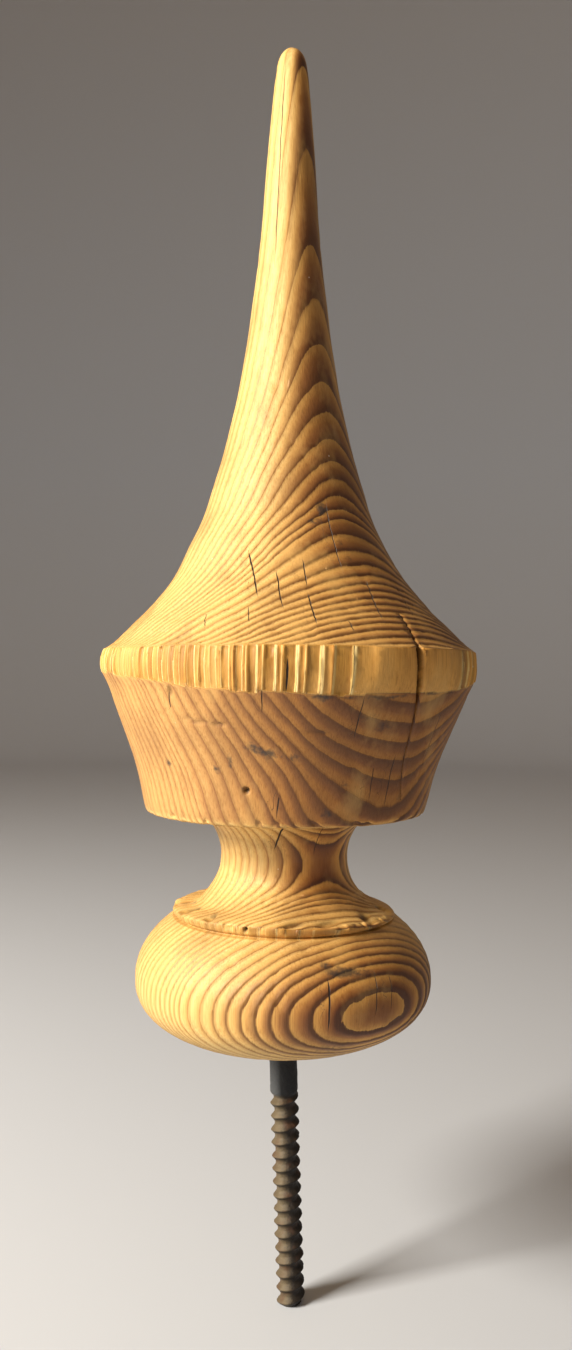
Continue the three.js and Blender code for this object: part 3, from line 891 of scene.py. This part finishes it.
def rustMaterial():
    # plain steel, long rusted: tan dust laid only on the thread's left as painted light, dark oxide
    # elsewhere, painted shade under each crest, and near-black scale on the plain shank with painted light in
    # grey on its left
    material, tree = newMaterial("rustedSteel")
    place = addNode(tree, "ShaderNodeTexCoord", output="Object")
    inMm = addNode(tree, "ShaderNodeVectorMath", {0: place, 3: 1000.0}, operation="SCALE")
    plain, under, leftLitSide = (addNode(tree, "ShaderNodeAttribute", output="Fac", attribute_name=name)
                           for name in ("plainShank", "shadeUnderCrest", "leftLitSide"))
    grain, patch = (addNode(tree, "ShaderNodeTexNoise", {"Vector": inMm, "Scale": 1 / size, "Detail": detail},
                            output="Fac")
                    for size, detail in ((rust["grainSize"], 3.0), (rust["patchSize"], 4.0)))
    # tan dust only where the left side is lit: painted light in a dust colour
    dustAndLight = addNode(tree, "ShaderNodeMath", {0: grain, 1: 0.5, 2: leftLitSide}, operation="MULTIPLY_ADD")
    dustAndLight = addNode(tree, "ShaderNodeMapRange", {"Value": dustAndLight, "From Min": 0.6, "From Max": 1.1})
    redder = addNode(tree, "ShaderNodeMapRange", {"Value": patch, "From Min": 0.52, "From Max": 0.7,
                                                  "To Max": rust["redShare"]})
    # painted shade under each crest
    underCrestShade = addNode(tree, "ShaderNodeMath", {0: under, 1: rust["darkeningShare"]}, operation="MULTIPLY")
    colour = toLinear(rust["oxide"])
    for share, name in ((dustAndLight, "dustAndLight"), (redder, "redRust"), (underCrestShade, "darkening")):
        colour = addNode(tree, "ShaderNodeMix", {"Factor": share, "A": colour, "B": toLinear(rust[name])},
                         data_type="RGBA", output="Result")
    # painted light: the shank turns grey on its left
    edge = addNode(tree, "ShaderNodeMapRange", {"Value": leftLitSide, "From Min": 0.65, "From Max": 1.0})
    shank = addNode(tree, "ShaderNodeMix", {"Factor": edge, "A": toLinear(rust["shank"]),
                                            "B": toLinear(rust["shankLitSide"])},
                    data_type="RGBA", output="Result")
    colour = addNode(tree, "ShaderNodeMix", {"Factor": plain, "A": colour, "B": shank},
                     data_type="RGBA", output="Result")
    metal = addNode(tree, "ShaderNodeMapRange", {"Value": plain, "To Min": rust["threadMetallic"],
                                                 "To Max": rust["shankMetallic"]})
    rough = addNode(tree, "ShaderNodeMapRange", {"Value": grain, "To Min": 0.45, "To Max": 0.8})
    lumps = addNode(tree, "ShaderNodeMath", {0: grain, 1: rust["grainHeight"]}, operation="MULTIPLY")
    bump = addNode(tree, "ShaderNodeBump", {"Height": lumps, "Strength": 1.0, "Distance": mm})
    shader = addNode(tree, "ShaderNodeBsdfPrincipled", {"Base Color": colour, "Metallic": metal,
                                                        "Roughness": rough, "Normal": bump})
    addNode(tree, "ShaderNodeOutputMaterial", {"Surface": shader})
    return material


boltMesh = makeBoltMesh()
addPiece("hanger_bolt_steel", boltMesh, rustMaterial(), "hanger_bolt")
print("bolt:", len(boltMesh.polygons), "faces")

stage = {
    "floorRadius": 2.2,               # metres
    "floorColumns": 96,
    "sweep": 0.9,
    "wallTop": 3.0,
    "paper": "#CDD4E0",
    "keyAt": (-0.96, -0.55, 0.54),    # metres from the collar
    "keySize": 0.42,
    "keyPower": 31.8,                 # watts
    "keyColour": "#FFF4E2",
    "skyColour": "#FFD09A",
    "skyStrength": 0.235,
}


def paperMaterial():
    # matt seamless paper, pale cool grey
    material, tree = newMaterial("seamlessPaper")
    shader = addNode(tree, "ShaderNodeBsdfPrincipled", {"Base Color": toLinear(stage["paper"]),
                                                        "Roughness": 0.92, "Specular IOR Level": 0.2})
    addNode(tree, "ShaderNodeOutputMaterial", {"Surface": shader})
    return material


def makeFloor():
    # one sheet turned round the axis: flat floor, a quarter-circle sweep, then an upright wall
    s = stage
    floorZ = cadBox[0][2] / mm
    angle = np.linspace(0, math.pi / 2, 24)
    sweep = s["sweep"] / mm
    flat = np.stack([np.linspace(60, s["floorRadius"] / mm, 10), np.full(10, floorZ)], axis=-1)
    curve = np.stack([flat[-1, 0] + sweep * np.sin(angle), floorZ + sweep * (1 - np.cos(angle))], axis=-1)
    wall = np.array([[curve[-1, 0], curve[-1, 1] + (s["wallTop"] / mm - curve[-1, 1])]])
    outline = np.vstack([flat, curve[1:], wall])
    rows, columns = len(outline), s["floorColumns"]
    turn = np.linspace(0, 2 * math.pi, columns, endpoint=False)
    radius, height = outline[:, :1], outline[:, 1:]
    points = np.stack([radius * np.cos(turn), -radius * np.sin(turn),
                       np.broadcast_to(height, (rows, columns))], axis=-1)
    vertices = np.vstack([points.reshape(-1, 3), (0, 0, floorZ)]) * mm
    column = np.arange(columns)
    following = (column + 1) % columns
    row = np.arange(rows - 1)[:, None] * columns
    quads = np.stack([row + column, row + following, row + columns + following, row + columns + column],
                     axis=-1)
    fan = np.stack([column, following, np.full(columns, rows * columns)], axis=-1)[:, ::-1]
    mesh = bpy.data.meshes.new("floor")
    mesh.from_pydata(vertices.tolist(), [], quads.reshape(-1, 4).tolist() + fan.tolist())
    mesh.shade_smooth()
    mesh.materials.append(paperMaterial())
    floor = bpy.data.objects.new("floor", mesh)
    scene.collection.objects.link(floor)


def makeLights():
    # a soft lamp on the left, above and in front, and a dim warm sky
    s = stage
    key = bpy.data.lights.new("key", "AREA")
    key.energy = s["keyPower"]
    key.size = s["keySize"]
    key.color = toLinear(s["keyColour"])[:3]
    lamp = bpy.data.objects.new("key", key)
    aim = Vector((0, 0, cameraView["height"]))
    lamp.location = aim + Vector(s["keyAt"])
    lamp.rotation_euler = (aim - lamp.location).to_track_quat("-Z", "Y").to_euler()
    scene.collection.objects.link(lamp)
    world = bpy.data.worlds.new("sky")
    world.use_nodes = True
    sky = world.node_tree.nodes["Background"]
    sky.inputs["Color"].default_value = toLinear(s["skyColour"])
    sky.inputs["Strength"].default_value = s["skyStrength"]
    scene.world = world


makeFloor()
makeLights()
print("stage ready")
